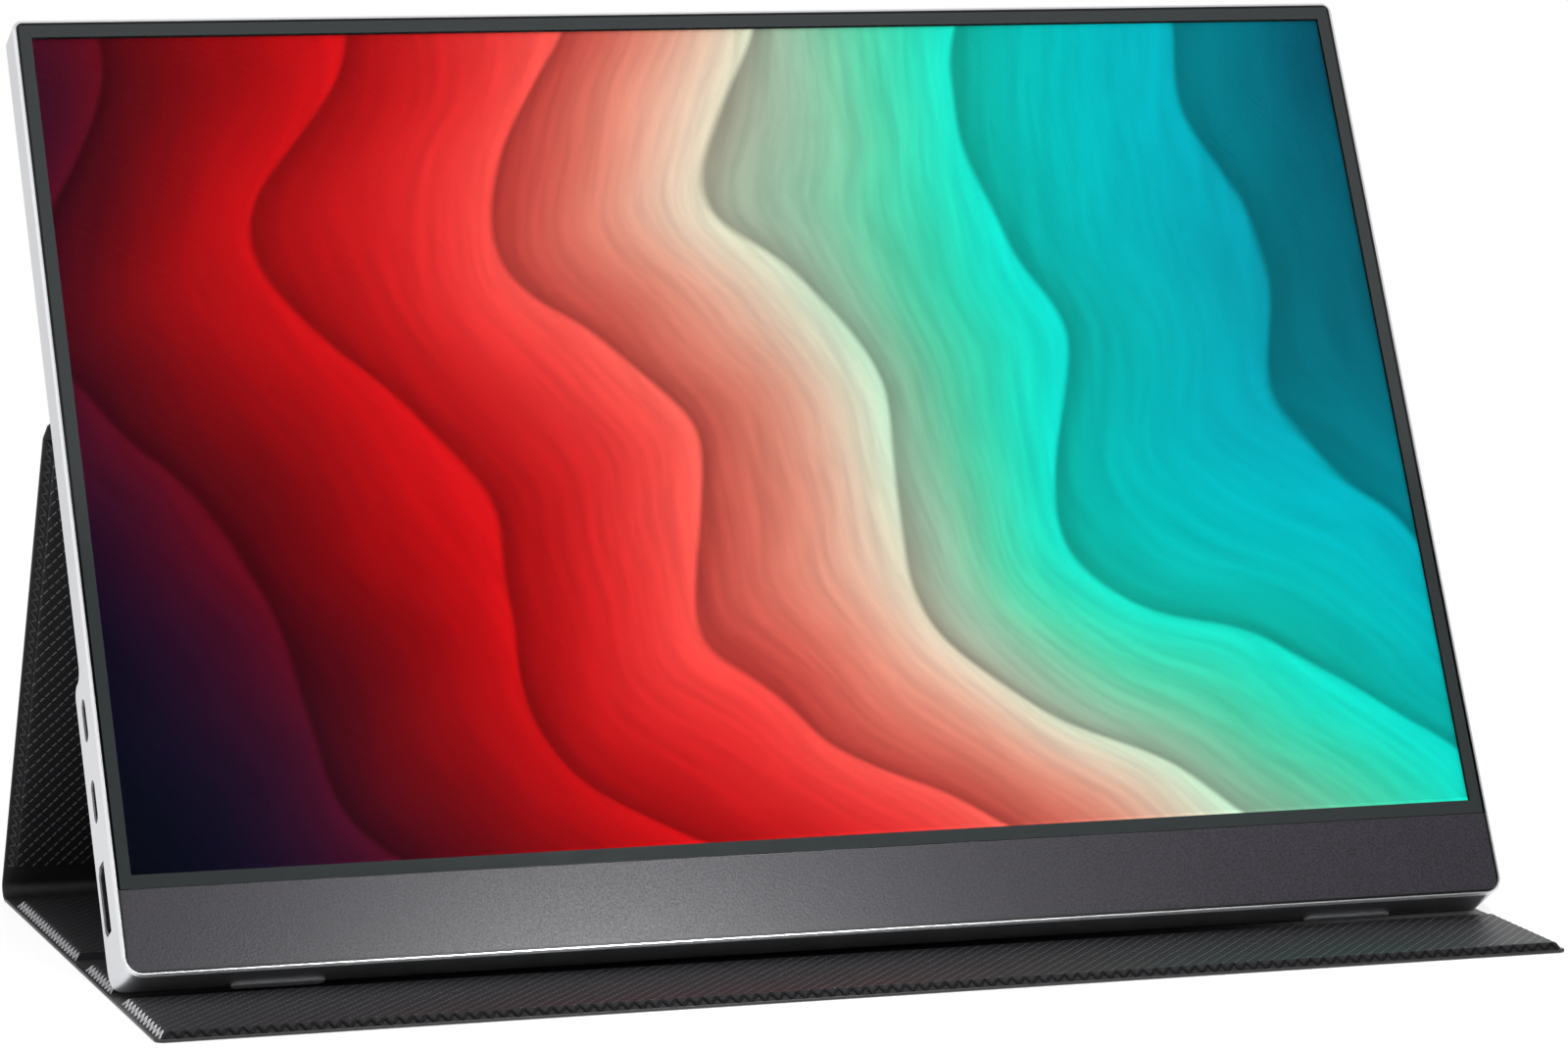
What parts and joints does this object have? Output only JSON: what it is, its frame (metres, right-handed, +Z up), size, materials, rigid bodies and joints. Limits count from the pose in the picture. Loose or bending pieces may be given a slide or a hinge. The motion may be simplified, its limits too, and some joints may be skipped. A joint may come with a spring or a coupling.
{
  "type": "portable monitor with folding cover",
  "caption": "Slim portable monitor with a thick lower back, leaning on a folding leather-like cover whose flaps make the stand.",
  "frame": {"origin": "centre of the footprint, on the surface that the cover stands on", "axes": "+X to the viewer's right along the width, +Y back through the stand, +Z up"},
  "size_m": [0.3106, 0.1573, 0.1973],
  "materials": {
    "housing_metal": "satin",
    "front_glass": "gloss",
    "chin_plastic": "fine grain",
    "liquid_crystal_cell": "gloss",
    "optical_film": "matte",
    "acrylic": "clear",
    "led_strip": "matte",
    "plain_steel": "plain",
    "circuit_board": "satin",
    "ribbon_film": "satin",
    "chip_resin": "matte",
    "socket_steel": "satin",
    "black_resin": "satin",
    "foot_rubber": "matte",
    "magnet": "plated",
    "cover_skin": "grained",
    "cover_board": "matte",
    "cover_lining": "fine ripple"
  },
  "bodies": {
    "rear_flap": {"rear_flap_skin": "cover_skin", "rear_flap_board": "cover_board", "rear_flap_lining": "cover_lining", "middle_fold": "cover_skin", "spine_fold": "cover_skin"},
    "middle_flap": {"middle_flap_skin": "cover_skin", "middle_flap_board": "cover_board", "middle_flap_lining": "cover_lining", "front_fold": "cover_skin"},
    "front_flap": {"front_flap_skin": "cover_skin", "front_flap_board": "cover_board", "front_flap_lining": "cover_lining", "flap_magnets": "magnet"},
    "leg": {"leg_skin": "cover_skin", "leg_board": "cover_board", "leg_lining": "cover_lining", "back_fold": "cover_skin"},
    "back_panel": {"back_panel_skin": "cover_skin", "back_panel_board": "cover_board", "back_panel_lining": "cover_lining", "back_magnets": "magnet"},
    "monitor": {"rear_housing": "housing_metal", "cover_glass": "front_glass", "chin_panel": "chin_plastic", "foot_left": "foot_rubber", "foot_right": "foot_rubber", "usb_c_port_upper": "socket_steel", "usb_c_port_lower": "socket_steel", "video_port": "socket_steel", "headphone_jack": "black_resin", "display_cell": "liquid_crystal_cell", "optical_sheets": "optical_film", "light_guide": "acrylic", "led_bar": "led_strip", "display_tray": "plain_steel", "timing_board": "circuit_board", "display_flex": "ribbon_film", "main_board": "circuit_board", "board_chips": "chip_resin", "side_board": "circuit_board", "side_ribbon": "ribbon_film", "key_switches": "black_resin", "board_screws": "plain_steel", "speaker_left": "black_resin", "speaker_right": "black_resin", "magnet_keepers": "plain_steel"},
    "power_key": {"power_button": "housing_metal"},
    "plus_key": {"plus_button": "housing_metal"},
    "minus_key": {"minus_button": "housing_metal"}
  },
  "joints": [
    {"name": "stand_hinge", "type": "hinge", "parent": "rear_flap", "child": "leg", "pos_m": [0, 0.07855, 0.00118], "axis": [-1, 0, 0], "range_deg": [0, 112], "deforming": ["spine_fold"]},
    {"name": "back_hinge", "type": "hinge", "parent": "leg", "child": "back_panel", "pos_m": [0, 0.02548, 0.11341], "axis": [1, 0, 0], "range_deg": [0, 46.7], "deforming": ["back_fold"]},
    {"name": "middle_flap_hinge", "type": "hinge", "parent": "rear_flap", "child": "middle_flap", "pos_m": [0, -0.00213, 0.0003], "axis": [-1, 0, 0], "range_deg": [0, 84], "deforming": ["middle_fold"]},
    {"name": "front_flap_hinge", "type": "hinge", "parent": "middle_flap", "child": "front_flap", "pos_m": [0, -0.0425, 0.0003], "axis": [-1, 0, 0], "range_deg": [0, 38], "deforming": ["front_fold"]},
    {"name": "monitor_lift", "type": "slide", "parent": "back_panel", "child": "monitor", "axis": [0, 0, 1], "range_m": [0, 0.1]},
    {"name": "power_press", "type": "slide", "parent": "monitor", "child": "power_key", "axis": [-1, 0, 0], "range_m": [0, 0.0003], "stiffness_N_per_m": 600},
    {"name": "plus_press", "type": "slide", "parent": "monitor", "child": "plus_key", "axis": [-1, 0, 0], "range_m": [0, 0.0003], "stiffness_N_per_m": 600},
    {"name": "minus_press", "type": "slide", "parent": "monitor", "child": "minus_key", "axis": [-1, 0, 0], "range_m": [0, 0.0003], "stiffness_N_per_m": 600}
  ],
  "couplings": [
    {"joint": "back_hinge", "follows": "stand_hinge", "ratio": 0.4165},
    {"joint": "middle_flap_hinge", "follows": "stand_hinge", "ratio": 0.75}
  ]
}
